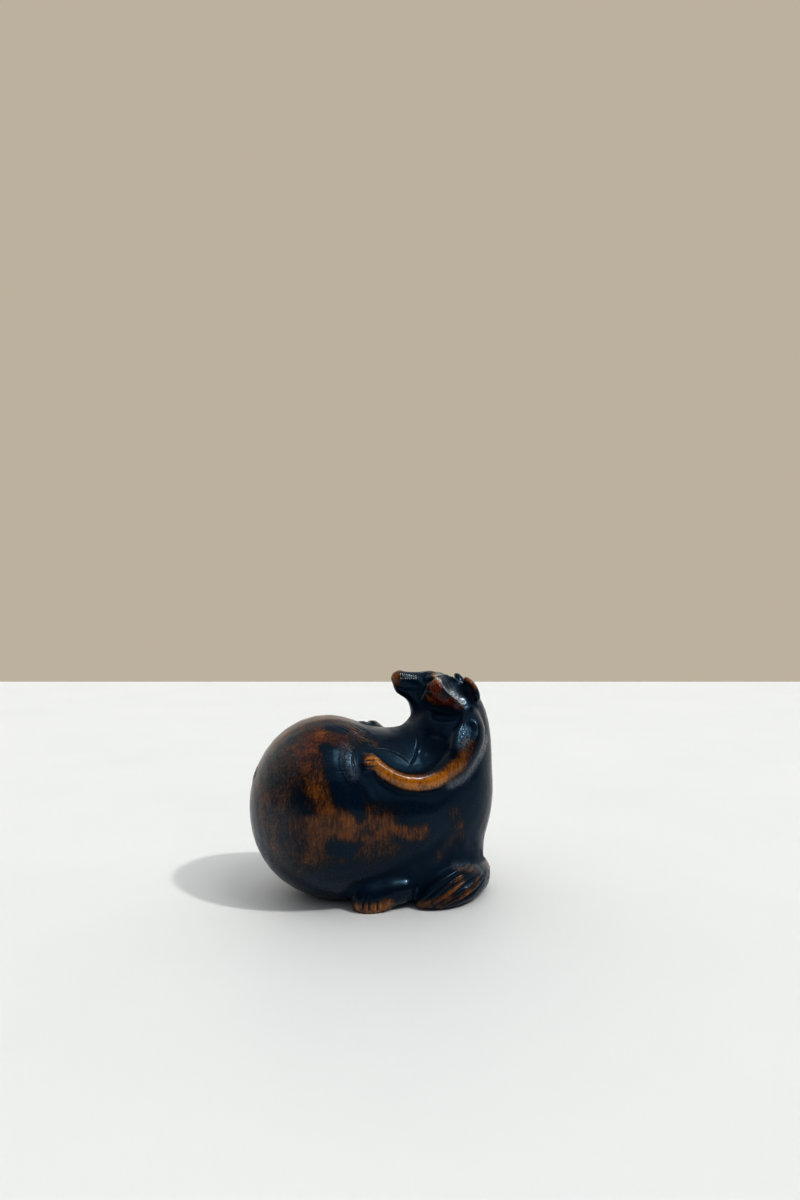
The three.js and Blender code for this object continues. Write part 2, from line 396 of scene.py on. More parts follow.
# %% Hollows and swellings
BACK_HOLE = (-5.3, 11.5)  # one end of the cord passage, as x and z from behind
FLANK_HOLE = (6.3, 11.5)  # the other, as y and z from the right
SHOULDER_FLAT = [(14.7, 28.6), (13.8, 27.2), (13.2, 25.8)]
FLAT_REACH, FLAT_SHARE, FLAT_FACES = 2.3, 0.8, (0.85, 0.2, 0.49)
RIGHT_WELT = shifted(WELT, 1.9, 3.4)[1:]
SOFT_SHARE = 0.5
SOFT_WELT, SOFT_CREASE, SOFT_RIM = (2.6, 40), (1.5, 16), (1.5, 14)  # reach and rounds


def rim(centre, radius):
    return ring(centre, radius, radius, 0, 360, 17)


def head_forms(side):
    yield Stroke(on_side(side, [(8.6, 36.5), (9.5, 36.45)]), 0.95, 0.36, even=True)
    yield Stroke(on_side(side, DISH), 1.5, 0.45)
    yield Stroke(on_side(side, shifted(RUFF_RIDGE[1:-1], 0.65, 0.35)), 0.75, 0.24)
    yield Stroke(on_side(side, shifted(RUFF_FRONT, -1.0, -0.1)), 1.1, 0.3)
    yield Stroke(on_side(side, shifted(RUFF_FOOT, 0, -0.75)), 0.8, 0.5)
    yield Stroke(on_side(side, RUFF_FACET), 1.4, -0.25)


def body_forms(side, welt):
    """The shoulder, the chest's hollow, the swell of skin round the hand, and its own hollow."""
    yield Stroke(on_side(side, [(13.1, 28.8), (12.8, 27.0), (12.4, 25.0)]), 2.6, -0.65)
    yield Stroke(on_side(side, [(8.6, 27.6), (8.4, 25.4), (7.4, 23.6)]), 1.9, 0.4)
    yield Stroke(on_side(side, welt), 1.9, -0.24)
    yield Stroke(on_side(side, shifted(welt[2:], 1.35, -0.3)), 1.3, 0.16)


def soften(mesh, route, reach, rounds):
    """Smooth what the solid's cuts left sharp along a route."""
    away, _ = distance_to(route, points_of(mesh))
    smooth(mesh, rounds, SOFT_SHARE * smoothstep(reach, 0.4 * reach, away))


def flatten(mesh, route, reach, share, aim):
    """Pare the wood along a route towards one flat that faces aim."""
    aim = np.array(aim) / np.linalg.norm(aim)
    points = points_of(mesh)
    away, _ = distance_to(route, points)
    worth = smoothstep(reach, 0.35 * reach, away)
    level = points @ aim
    middle = (worth * level).sum() / worth.sum()
    points += (share * worth * (middle - level))[:, None] * aim
    put_points(mesh, points)


for side, welt in ((LEFT, WELT), (RIGHT, RIGHT_WELT)):
    soften(mesh, on_side(side, welt[2:]), *SOFT_WELT)
    soften(mesh, on_side(side, CREASE), *SOFT_CREASE)
    carve(mesh, [*head_forms(side), *body_forms(side, welt)])
for route in (from_behind(rim(BACK_HOLE, 1.9)), on_side(RIGHT, rim(FLANK_HOLE, 2.1))):
    soften(mesh, route, *SOFT_RIM)
flatten(mesh, on_side(LEFT, SHOULDER_FLAT), FLAT_REACH, FLAT_SHARE, FLAT_FACES)
wood = tree_of(mesh)
print("forms cut,", len(mesh.vertices), "points")

# %% [markdown]
# ## The head's strokes
#
# Whiskers are a row of short upright nicks along the muzzle. The eye is a bead left standing in
# its socket, with a cut round it. The ruff, a raccoon dog's wide cheek fur, has a sharp edge and a
# few hair lines, and the nose pad is set off by a shallow cut. Each feature is one function of the
# side, so both sides of the head get the same strokes.

# %% Whiskers, eyes, nose, mouth and ruff
NICKS = 8
NICK_HEIGHT = 0.8
LID = (0.78, 0.52)  # half the eye's length and height
RUFF_HAIRS = 7


def whiskers(side):
    for i in range(NICKS):
        y, z = blended(*WHISKERS, i / (NICKS - 1))
        half = NICK_HEIGHT * (1 - 0.4 * i / NICKS) / 2
        places = [(y, z - half), (y + 0.04, z), (y, z + half)]
        yield Stroke(on_side(side, places), 0.12, 0.16, 0.6)


def eye_strokes(side):
    y, z = EYE
    brow = [(y - 1.3, z + 0.55), (y - 0.2, z + 0.95), (y + 0.9, z + 0.85)]
    corner = [(y - 1.2, z + 0.3), (y - 1.4, z - 0.05), (y - 1.2, z - 0.4)]
    yield Stroke(on_side(side, [(y - 0.22, z), (y + 0.18, z)]), 0.62, -0.34, even=True)
    yield Stroke(on_side(side, ring(EYE, *LID, 10, 190)), 0.17, 0.16, 0.3)
    yield Stroke(on_side(side, ring(EYE, *LID, 190, 350)), 0.14, 0.1, 0.2)
    yield Stroke(on_side(side, brow), 0.3, -0.14)
    yield Stroke(on_side(side, corner), 0.14, 0.1, 0.5)


def muzzle_strokes(side):
    y, z = NOSE
    pad = [(y + 1.35, z + 0.9), (y + 1.5, z), (y + 1.0, z - 1.0)]
    yield Stroke(on_side(side, pad), 0.3, 0.1, 0.2)
    yield Stroke(on_side(side, MOUTH), 0.24, 0.22, 0.2)
    yield Stroke(from_front([(side * 0.35, 36.3), (side * 0.62, 36.45)]), 0.3, 0.22)


def ruff_strokes(side):
    yield Stroke(on_side(side, RUFF_RIDGE), 0.34, -0.2)
    facet = len(curve(RUFF_FACET)) - 1
    for i in range(1, RUFF_HAIRS):
        share = i / RUFF_HAIRS
        y, z = curve(RUFF_FACET)[int(share * facet)]
        lean = math.radians(-115 + 75 * share)
        step = np.array([math.cos(lean), math.sin(lean)]) * (0.75 + 0.2 * math.sin(5 * i))
        yield Stroke(on_side(side, [(y, z) - step, (y + 0.05, z), (y, z) + step]), 0.12, 0.05, 0.5)


def head_strokes(side):
    yield from whiskers(side)
    yield from eye_strokes(side)
    yield from muzzle_strokes(side)
    yield from ruff_strokes(side)


# %% [markdown]
# ## The body's strokes
#
# The hands press into the full belly, so fine wrinkles fan out from the fingertips and over the top
# of the belly, and the navel at its front is a pit in a star of folds. A crease runs from the
# chest down behind the arm. Short hairs cover the shoulders, and toes and fingers are deep plain
# cuts. Wrinkles are never quite even, so sines of the count push each one a little aside. A table
# of random numbers would do that too, but sines give the same carving on every run.

# %% Wrinkles, creases, fingers and toes
PUCKERS, PUCKER_LINES = 11, 8
TOP_WRINKLES = 9
HATCH = 20
SHOULDER_ROWS, SHOULDER_ROW = 6, 6
NAVEL = np.array([0.1, 20.6])  # x and z, seen from the front
NAVEL_FOLDS = 9
TOES = ((-3.05, 2.7), (-2.1, 3.2), (-0.7, 2.4))  # where each cut is, and how high it reaches
FOOT_EDGES = ((1.95, 3.9), (5.1, 3.8))


def finger_strokes(side, hand):
    y, z = hand
    upper = [(y + 0.9, z + 0.55), (y - 0.4, z + 0.45), (y - 1.5, z + 0.35)]
    lower = [(y + 0.9, z - 0.35), (y - 0.3, z - 0.45), (y - 1.4, z - 0.6)]
    for places in (upper, lower):
        yield Stroke(on_side(side, places), 0.22, 0.24, 0.15)


def pucker_strokes(side, welt):
    """Short wrinkles across the swollen skin, and longer ones that follow it."""
    spine = curve(welt)
    for i in range(PUCKERS):
        share = i / (PUCKERS - 1)
        y, z = spine[int(0.62 * share * (len(spine) - 1))]
        turn = math.radians(110 + 75 * share + 22 * math.sin(5 * i))
        out = np.array([math.cos(turn), math.sin(turn)])
        start = (y, z) - (0.9 + 0.5 * math.sin(3 * i)) * out
        length = 2.4 + 1.0 * math.sin(7 * i)
        places = [start, start + 0.5 * length * out, start + length * out]
        yield Stroke(on_side(side, places), 0.15, 0.045, 0.6)
    for i in range(PUCKER_LINES):
        line = shifted(welt[1 + i % 3 : 8 - i % 2], 0.28 * i - 1.1, 0.12 * math.sin(3 * i))
        yield Stroke(on_side(side, line), 0.15, 0.055, 0.6)


def chest_strokes(side):
    """The crease behind the arm, and on the left, where the arm lies low, lines over the chest."""
    if side == RIGHT:
        yield Stroke(on_side(side, [(7.6, 28.4), (7.4, 27.2), (7.0, 26.0)]), 0.26, 0.3)
        return
    yield Stroke(on_side(side, CREASE), 0.26, 0.34)
    fold = [(-0.8, 25.6), (1.6, 25.3), (3.8, 24.3), (5.0, 23.2)]
    yield Stroke(on_side(side, fold), 0.22, 0.12, 0.3)
    for i in range(HATCH):
        share = i / (HATCH - 1)
        y, z = blended((-2.0, 27.2), (3.4, 25.0), share)
        drift = 0.5 * math.sin(5.1 * i)
        bend = 0.3 * math.sin(3.3 * i)
        middle = (y + bend, z + 0.1 + drift)
        places = [(y - 0.9, z + 0.5 + drift), middle, (y + 1.0, z - 0.7 + drift)]
        yield Stroke(on_side(side, places), 0.13, 0.055, 0.5)


def navel_strokes():
    """A small pit at the front of the belly, in a star of short folds."""
    x, z = NAVEL
    yield Stroke(from_front([(x - 0.3, z - 0.1), (x + 0.4, z + 0.1)]), 0.72, 0.6, 0.15, even=True)
    for i in range(NAVEL_FOLDS):
        turn = 2 * math.pi * i / NAVEL_FOLDS + 0.3 * math.sin(5 * i)
        out = np.array([math.cos(turn), math.sin(turn)])
        ends = [NAVEL + 0.5 * out, NAVEL + 1.0 * out, NAVEL + (1.5 + 0.3 * math.sin(3 * i)) * out]
        yield Stroke(from_front(ends), 0.16, 0.07, 0.5)


def shoulder_strokes(side):
    """Short hairs over the round of the shoulder, in staggered rows."""
    for i in range(SHOULDER_ROWS * SHOULDER_ROW):
        row, place = divmod(i, SHOULDER_ROW)
        y = 13.4 + 0.42 * place + 0.1 * math.sin(9 * i)
        z = 29.6 - 0.8 * row - 0.25 * place
        places = [(y + 0.12, z + 0.4), (y, z), (y - 0.16, z - 0.4)]
        yield Stroke(on_side(side, places), 0.15, 0.05, 0.5)


def top_strokes(side):
    """Skin drawn tight over the top of the belly, towards the hand."""
    for i in range(TOP_WRINKLES):
        share = i / (TOP_WRINKLES - 1)
        end = blended((-7.9, 29.6), (-3.4, 29.2), share)
        middle = blended((-3.6, 27.5), (-1.6, 27.9), share) + (0.3 * math.sin(4 * i), 0)
        start = blended((-0.4, 25.9), (0.3, 26.9), share)
        yield Stroke(on_side(side, [start, middle, end]), 0.19, 0.075, 0.6)


def foot_strokes(side):
    for y, top in TOES:
        yield Stroke(on_side(side, [(y, 0.5), (y, top / 2), (y + 0.1, top)]), 0.26, 0.3, 0.25)
    for y, top in FOOT_EDGES:
        yield Stroke(on_side(side, [(y, 0.7), (y - 0.08, top / 2), (y - 0.15, top)]), 0.24, -0.12)


# %% [markdown]
# ## The tail's strokes
#
# The tail is wrapped round the left side. Its locks fan out from the tip, with deep partings
# between them, and each lock carries a few finer hairs. Both ends of the fan are given, and what
# lies between is blended from them, so the whole fan is two routes and two counts. Long hairs
# follow the tail behind the haunches, and short ones run down the nape.

# %% Partings and hairs of the tail, and the hairs of the nape
PARTINGS = 5
HAIRS = 26
TAIL_BACK_HAIRS = 7
NAPE_ROWS, NAPE_ROW = 6, 7
LOWEST_LOCK = [(11.0, 0.6), (14.6, 1.0), (17.0, 1.8), (18.8, 3.0)]
HIGHEST_LOCK = [(6.0, 1.0), (8.6, 3.6), (11.6, 5.3), (15.4, 6.2)]


def fan(share, drift=0.0):
    """The route at a share of the way from the highest lock to the lowest."""
    return [blended(a, b, share) + (0, drift) for a, b in zip(HIGHEST_LOCK, LOWEST_LOCK)]


def tail_strokes():
    for i in range(PARTINGS):
        yield Stroke(on_side(LEFT, fan((i + 0.1) / PARTINGS)), 0.42, 0.36, 0.12)
    for i in range(HAIRS):
        route = curve(fan(i / (HAIRS - 1), 0.12 * math.sin(9.7 * i)))[2::6]
        yield Stroke(on_side(LEFT, route), 0.16, 0.06 + 0.03 * math.sin(4.3 * i), 0.3)


def back_strokes():
    """Long hairs along the tail behind the haunches, and short ones down the nape."""
    for i in range(TAIL_BACK_HAIRS):
        z = 1.0 + 0.55 * i
        middle = (0.6 * math.sin(4 * i), z + 0.1)
        places = [(-6.5 + 0.4 * i, 0.75 * z + 0.5), middle, (6.0 - 0.3 * i, z)]
        yield Stroke(from_behind(places), 0.17, 0.07, 0.4)
    for i in range(NAPE_ROWS * NAPE_ROW):
        row, place = divmod(i, NAPE_ROW)
        x = -3.4 + 1.1 * place + 0.25 * math.sin(8 * i)
        z = 34.0 - 1.15 * row + 0.3 * math.sin(3 * i)
        places = [(x, z + 0.6), (1.04 * x, z), (1.1 * x, z - 0.7)]
        yield Stroke(from_behind(places), 0.16, 0.055, 0.5)


# %% [markdown]
# ## All strokes together
#
# The strokes are gathered in one list before any is cut. A route whose rays all pass the wood by
# would cut nothing, so it is left out, and the count shows at once if a place was mistyped.


# %% Every line
def on_both(strokes):
    return [stroke for side in BOTH_SIDES for stroke in strokes(side)]


finest = on_both(whiskers)
drawn = [
    *on_both(head_strokes),
    *finger_strokes(LEFT, LEFT_HAND),
    *finger_strokes(RIGHT, RIGHT_HAND),
    *pucker_strokes(LEFT, WELT),
    *pucker_strokes(RIGHT, RIGHT_WELT),
    *on_both(chest_strokes),
    *on_both(shoulder_strokes),
    *navel_strokes(),
    *on_both(top_strokes),
    *on_both(foot_strokes),
    *tail_strokes(),
    *back_strokes(),
]
lines = [stroke for stroke in drawn if len(stroke.route) > 1]
print(len(lines), "lines;", len(drawn) - len(lines), "miss the wood")

# %% [markdown]
# ## Cutting the strokes
#
# A stroke narrower than the clay's squares would not show. Dividing every square would make the
# mesh four times heavier, so only those near a stroke are divided, and those near the whiskers
# twice. A little smoothing spreads the new points evenly before the strokes are cut.

# %% Divide the squares near the strokes
DETAIL_REACH, FINE_REACH = 0.4, 0.35  # how far from a stroke the squares are divided
DIVIDED_EASE = 0.4


def close_to(points, marks, reach):
    """Which points are within reach of one of the strokes."""
    flags = np.zeros(len(points), bool)
    for mark in marks:
        near = near_route(mark.route, points, reach + mark.width)
        away, _ = distance_to(mark.route, points[near])
        flags[near[away < reach + mark.width]] = True
    return flags


def divide(mesh, flags):
    bm = bmesh.new()
    bm.from_mesh(mesh)
    bm.verts.ensure_lookup_table()
    chosen = [e for e in bm.edges if flags[e.verts[0].index] and flags[e.verts[1].index]]
    bmesh.ops.subdivide_edges(bm, edges=chosen, cuts=1, use_grid_fill=True)
    bm.to_mesh(mesh)
    bm.free()


for marks, reach in ((lines, DETAIL_REACH), (finest, FINE_REACH)):
    divide(mesh, close_to(points_of(mesh), marks, reach))
    smooth(mesh, EASE_ROUNDS, DIVIDED_EASE * close_to(points_of(mesh), marks, reach))
carve(mesh, lines)
mesh.calc_loop_triangles()
print("divided to", len(mesh.polygons), "faces, or", len(mesh.loop_triangles), "triangles")

# %% [markdown]
# ## The hand of the carver
#
# No scraped surface is perfectly even. A slow ripple of a few hundredths of a millimetre, like the
# flats of a scraper, breaks up the reflections on the belly and back. A bump in the material could
# do it too, but this ripple is wide enough to be real form. The base is then set flat on the table
# again, and no point leaves the solid's box.

# %% Ripple and base
RIPPLES = ((0.16, 0.05), (0.55, 0.018))  # waves per millimetre, and their height
BASE_HEIGHT = 0.25
BASE_FLAT = 0.05  # what lies below this height is pressed onto the table
LAST_EASE = 0.25


def ripple(points):
    height = np.zeros(len(points))
    for frequency, depth in RIPPLES:
        height += depth * np.array([noise.noise(Vector(p * frequency)) for p in points])
    return height


points, normals = points_of(mesh), normals_of(mesh)
base = points[:, 2] < BASE_HEIGHT
points += normals * ripple(points)[:, None]
level = points[:, 2]
points[:, 2] = np.where(base, level * smoothstep(BASE_FLAT, BASE_HEIGHT, level), level)
put_points(mesh, np.clip(points, low, high))
smooth(mesh, 1, LAST_EASE)
for face in mesh.polygons:
    face.use_smooth = True
print("carved box", np.round(np.ptp(points_of(mesh), 0), 2), "mm")

# %% [markdown]
# ## Where hands have been
#
# The dark stain is thin. It has gone where fingers and cloth rub: the arm, the nose, the edge of
# the ruff, the toes, the outside of the tail, the rims of the cord holes and the widest part of
# the belly. Rubbed places are routes too, each with a reach and a strength, and where two of them
# meet the stronger one counts. Painting by hand would work as well, but a list of places can be
# read and changed.

# %% Rubbed and stained places
# Each row has its places, then its reach and its strength.
LEFT_RUBS = [
    (shifted(LEFT_ARM[3:], 0, 0.4), 2.2, 1.06),
    (shifted(LEFT_ARM[2:5], 0, 0.3), 2.2, 0.88),
    ([(14.8, 26.4), (14.0, 24.6), (12.6, 22.9)], 2.0, 0.6),
    ([(-15.5, 19.0), (-13.0, 25.0), (-6.5, 28.4)], 9.5, 0.47),
    ([(-12.6, 26.2), (-9.0, 27.9), (-6.4, 27.2)], 3.8, 0.66),
    ([(-14.0, 18.0), (-9.0, 14.0), (-2.0, 12.5)], 8.5, 0.48),
    ([(-11.6, 23.4), (-10.0, 20.6), (-9.2, 17.6)], 3.4, 0.62),
    ([(-11.0, 17.0), (-7.4, 15.4), (-3.4, 14.2), (0.0, 13.6)], 4.4, 0.74),
    ([(0.0, 13.6), (3.0, 13.1), (6.6, 12.6)], 2.2, 0.66),
    ([(-10.6, 14.6), (-10.8, 9.8)], 4.0, 0.66),
    ([(-6.4, 10.9), (-2.0, 10.4), (1.6, 10.9)], 3.0, 0.52),
    ([(-18.4, 17.0), (-17.0, 12.6), (-14.8, 9.6)], 6.0, 0.50),
    ([(-7.4, 29.8), (-3.6, 28.0), (-0.6, 26.4)], 1.8, 0.6),
    ([(10.3, 8.6), (13.3, 11.0)], 2.4, 0.6),
    ([(12.2, 15.2), (13.2, 12.6)], 1.8, 0.52),
    ([(-3.6, 0.7), (-1.1, 0.9), (1.0, 1.3)], 1.8, 0.9),
    ([(6.4, 0.8), (9.8, 2.1), (13.0, 4.6)], 1.3, 0.72),
    ([(9.2, 0.8), (12.8, 1.9), (16.2, 3.9)], 1.2, 0.66),
    ([(12.6, 6.2), (15.6, 5.6)], 1.6, 0.58),
]
RIGHT_RUBS = [
    (shifted(RIGHT_ARM[3:], 0, 0.3), 2.1, 1.1),
    (shifted(RIGHT_ARM[2:5], 0, 0.3), 2.1, 0.85),
    ([(14.8, 26.4), (13.9, 24.6), (12.2, 23.2)], 1.9, 0.6),
    ([(-12.0, 24.0), (-7.0, 21.0), (-4.0, 16.0)], 8.0, 0.48),
    ([(-9.5, 26.4), (-6.0, 24.2), (-3.6, 21.8)], 3.0, 0.68),
    ([(-14.0, 14.0), (-9.0, 12.2), (-3.4, 13.6), (2.0, 12.4)], 4.0, 0.8),
    ([(-16.6, 20.4), (-15.0, 23.6)], 4.6, 0.5),
    ([(10.0, 15.8), (13.6, 18.4)], 2.8, 0.5),
    ([(-3.6, 0.9), (-1.1, 1.1), (1.2, 1.5)], 1.8, 0.9),
    (rim(FLANK_HOLE, 2.2), 1.2, 0.6),
]
EAR_BACK = [(15.9, 36.5), (16.5, 35.7), (16.6, 34.9), (16.8, 34.0)]
BOTH_RUBS = [
    (RUFF_FACET, 2.1, 0.60),
    (RUFF_FOOT[1:], 0.9, 0.55),
    ([(8.9, 33.4), (9.8, 32.8), (10.8, 32.4)], 1.2, 0.68),
    ([(10.5, 37.2), (10.4, 36.2)], 0.9, 0.85),
    (EAR_BACK, 1.3, 0.8),
]
OTHER_RUBS = [  # a row here starts with the side that it is seen from
    (from_front, [(-4.0, 13.0), (0.0, 16.0), (3.0, 20.0)], 10.0, 0.48),
    (from_above, [(1.0, -17.0), (1.0, -12.0), (0.0, -7.0)], 8.0, 0.52),
    (from_behind, [(-1.5, 25.0), (1.0, 19.0), (-0.5, 12.0)], 8.5, 0.46),
    (from_behind, [(2.2, 22.0), (3.4, 16.5)], 4.0, 0.58),
    (from_behind, [(-4.6, 17.5), (-3.8, 14.0)], 3.0, 0.6),
    (from_behind, [(-5.0, 4.0), (0.0, 4.6), (5.0, 4.4)], 1.8, 0.55),
    (from_behind, rim(BACK_HOLE, 2.0), 1.2, 0.6),
]
NOSE_TIP = [(x, NOSE[0] + 0.9, NOSE[1]) for x in (-0.4, 0.4)]  # x, y and z
LEFT_STAINS = [  # places where the dark stain is left
    ([(-8.9, 26.4), (-8.0, 25.4)], 1.5, 0.6),
    ([(-7.6, 29.0), (-5.6, 28.7)], 1.3, 0.5),
    ([(-6.6, 24.8), (-5.6, 20.0)], 3.2, 0.5),
    ([(-13.4, 18.6), (-12.0, 17.9)], 2.2, 0.4),
    ([(-4.2, 17.6), (-3.6, 16.0)], 1.5, 0.5),
    ([(-7.8, 11.6), (-5.6, 10.7)], 1.9, 0.42),
]
BOTH_STAINS = [
    ([(7.2, 36.6), (8.6, 36.5), (9.1, 36.4)], 0.9, 0.8),
    (shifted(RUFF_RIDGE[1:], 0.8, 0.45), 0.75, 0.8),
    (DISH, 1.3, 0.8),
]
print(len(LEFT_RUBS + RIGHT_RUBS + BOTH_RUBS + OTHER_RUBS) + 1, "rubbed places")

# %% Rub them
wood = tree_of(mesh)
points, normals = points_of(mesh), normals_of(mesh)


def patch(route, reach):
    """1 along the middle of a route, and 0 at its reach."""
    worth = np.zeros(len(points))
    near = near_route(route, points, reach)
    away, _ = distance_to(route, points[near])
    worth[near] = smoothstep(1.0, 0.25, away / reach)
    return worth


def strongest(rows):
    """The strongest of the rows' patches at each point."""
    worth = np.zeros(len(points))
    for route, reach, strength in rows:
        worth = np.maximum(worth, strength * patch(route, reach))
    return worth


def dropped(side, rows):
    """The same rows, with their places as routes on one side of the animal."""
    return [(on_side(side, places), reach, strength) for places, reach, strength in rows]


worn = strongest(
    [
        *dropped(LEFT, LEFT_RUBS + BOTH_RUBS),
        *dropped(RIGHT, RIGHT_RUBS + BOTH_RUBS),
        *((view(places), reach, strength) for view, places, reach, strength in OTHER_RUBS),
        (np.array(NOSE_TIP), 2.1, 0.95),
    ]
)
kept_stain = dropped(LEFT, LEFT_STAINS + BOTH_STAINS) + dropped(RIGHT, BOTH_STAINS)
for route, reach, strength in kept_stain:
    worn -= strength * patch(route, reach)
print("share that is rubbed:", round(float((worn > 0.3).mean()), 3))

# %% [markdown]
# ## Hollows and proud edges
#
# Polish takes the stain off an edge first and never reaches the bottom of a cut. A point that
# stands above the average of the surface round it is proud, and one that lies below is in a
# hollow. A render could work this out from rays, but a value kept on the points also goes where
# the mesh goes. Two widths are added: a few rounds of averaging find the fine cuts, and many find
# the broad forms.

# %% Hollows and proud edges
SMALL_ROUNDS, WIDE_ROUNDS = 6, 90
SMALL_SHARE, WIDE_SHARE = 4.0, 0.9
EDGE_WEAR = 0.25
web = Web(mesh)


def standing(rounds):
    """How far each point stands above the surface round it."""
    blurred = points
    for _ in range(rounds):
        blurred = web.mean(blurred)
    return np.einsum("ij,ij->i", points - blurred, normals)


fine, broad = standing(SMALL_ROUNDS), standing(WIDE_ROUNDS)
broad -= np.median(broad)
proud = np.clip(0.5 + SMALL_SHARE * fine + WIDE_SHARE * broad, 0, 1)
worn += EDGE_WEAR * (proud - 0.5)
print("share that is worn over half:", round(float((worn > 0.5).mean()), 3))

# %% [markdown]
# ## Reddened fur and painted sheen
#
# The ruff and the top of the belly have kept a little red in the wood. A pale grey is painted
# in the whisker nicks, over the dish behind the ruff, along the ruff's edge, along the edge of the
# elbow and on a few places of the left side: painted glints, highlights and reflections of the
# bright room. Both are lists of places again, and each becomes one more value on the points. The
# four values are kept on the mesh under their names, where the material reads them.

# %% Red fur and painted sheen
ELBOW_EDGE = [
    *((19.0, 26.2), (18.2, 25.0), (17.0, 23.6), (15.6, 22.2)),
    *((14.2, 21.0), (12.8, 20.3), (11.6, 19.9)),
]
RUFF_HOLLOW = [(13.2, 34.2), (13.7, 33.6), (14.2, 33.1), (14.7, 32.6)]
RED_PLACES = [(RUFF_FACET[1:], 2.4, 1.0), ([(-12.0, 26.2), (-7.0, 27.2)], 5.0, 0.5)]
LEFT_PAINTED_SHEEN = [
    # These two rows paint a highlight in pale grey: the lit crescent behind the ruff's edge.
    (shifted(RUFF_RIDGE[1:-1], 0.55, 0.32), 0.9, 1.2),
    (RUFF_HOLLOW, 0.8, 1.2),
    # Painted reflection of the pale room over the dish, in pale grey specks.
    (DISH, 1.8, 0.22),
    # Painted sheen in pale grey: the room mirrored along the elbow's outer edge.
    (ELBOW_EDGE, 1.3, 0.46),
    # Painted reflection in pale grey of the bright room on the left of the belly.
    ([(-15.5, 25.0), (-17.6, 20.0), (-17.6, 12.0)], 6.5, 0.10),
    # Painted highlight in pale grey on the hatch lines round the hand.
    ([(-5.6, 26.4), (-5.4, 24.8), (-4.6, 22.4)], 1.5, 0.12),
    # Painted highlight in pale grey on the top of the tail.
    ([(12.6, 6.3), (15.4, 5.8), (17.0, 5.0)], 1.3, 0.12),
]
# A weaker painted highlight in pale grey along the right ruff's edge.
RIGHT_PAINTED_SHEEN = [(shifted(RUFF_RIDGE[1:-1], 0.4, 0.25), 0.7, 0.5)]
# Each whisker nick gets a painted glint in pale grey.
NICK_PAINTED_GLINT = (0.15, 1.7)  # reach and strength in each whisker nick

ruddy = strongest(dropped(LEFT, RED_PLACES) + dropped(RIGHT, RED_PLACES))
nicks = [(stroke.route, *NICK_PAINTED_GLINT) for stroke in finest]
# The pale grey of painted glints, highlights and reflections, as one value at each point.
painted_sheen = strongest(nicks + dropped(LEFT, LEFT_PAINTED_SHEEN) + dropped(RIGHT, RIGHT_PAINTED_SHEEN))
for name, values in (("worn", worn), ("proud", proud), ("ruddy", ruddy), ("painted_sheen", painted_sheen)):
    kept = mesh.attributes.new(name, "FLOAT", "POINT")
    kept.data.foreach_set("value", values.astype(np.float32))
    print(name, "is", round(float(values.mean()), 3), "on average")

# %% [markdown]
# ## Shader maths
#
# A material is a graph of nodes. Written out link by link it is hard to read, so a small class
# stands for one output of a node and lets us write `worn * 2 - 1` in Python: each operator adds
# the Math node that works it out. Every other node comes from one method, which takes the node's
# type, its settings and what goes into its sockets.


# %% Wires and graphs
class Wire:
    """One output of a node, to calculate with."""

    def __init__(self, graph, socket):
        self.graph, self.socket = graph, socket

    def maths(self, operation, *values):
        return self.graph.node("ShaderNodeMath", {"operation": operation}, dict(enumerate(values)))

    def __add__(self, other):
        return self.maths("ADD", self, other)

    def __sub__(self, other):
        return self.maths("SUBTRACT", self, other)

    def __rsub__(self, other):
        return self.maths("SUBTRACT", other, self)

    def __mul__(self, other):
        return self.maths("MULTIPLY", self, other)

    __radd__ = __add__
    __rmul__ = __mul__

    def step(self, start, stop):
        """0 below start, 1 above stop, and a smooth rise between."""
        ends = {"Value": self, "From Min": start, "From Max": stop}
        settings = {"interpolation_type": "SMOOTHSTEP"}
        return self.graph.node("ShaderNodeMapRange", settings, ends)


def set_stops(ramp, stops):
    """Put colours on a ramp, which has two stops to begin with."""
    for i, (place, colour) in enumerate(stops):
        stop = ramp.elements[i] if i < 2 else ramp.elements.new(place)
        stop.position, stop.color = place, (*colour, 1)


class Graph:
    """The nodes of a material or of the world, cleared and built up again."""

    def __init__(self, owner):
        owner.use_nodes = True
        self.tree = owner.node_tree
        self.tree.nodes.clear()

    def node(self, kind, settings=None, inputs=None, output=0):
        made = self.tree.nodes.new(kind)
        for name, value in (settings or {}).items():
            if name == "stops":
                set_stops(made.color_ramp, value)
            else:
                setattr(made, name, value)
        for name, value in (inputs or {}).items():
            if isinstance(value, Wire):
                self.tree.links.new(value.socket, made.inputs[name])
            else:
                made.inputs[name].default_value = value
        return Wire(self, made.outputs[output]) if made.outputs else None

    def noise(self, place, scale, detail, roughness=0.55):
        inputs = {"Vector": place, "Scale": scale, "Detail": detail, "Roughness": roughness}
        return self.node("ShaderNodeTexNoise", None, inputs)

    def mix(self, share, first, second, blend="MIX"):
        """Two colours mixed. A Mix node has sockets for each kind, and 6 and 7 are the colours."""
        settings = {"data_type": "RGBA", "blend_type": blend}
        return self.node("ShaderNodeMix", settings, {0: share, 6: first, 7: second}, output=2)

    def in_millimetres(self, stretch=(1, 1, 1)):
        place = self.node("ShaderNodeTexCoord", output="Object")
        scale = tuple(s / MM for s in stretch)
        return self.node("ShaderNodeMapping", None, {"Vector": place, "Scale": scale})

    def part_along(self, direction, axis):
        """How much of a direction lies along an axis."""
        settings = {"operation": "DOT_PRODUCT"}
        return self.node("ShaderNodeVectorMath", settings, {0: direction, 1: axis}, "Value")

    def surface(self, inputs):
        shader = self.node("ShaderNodeBsdfPrincipled", None, inputs)
        self.node("ShaderNodeOutputMaterial", None, {"Surface": shader})
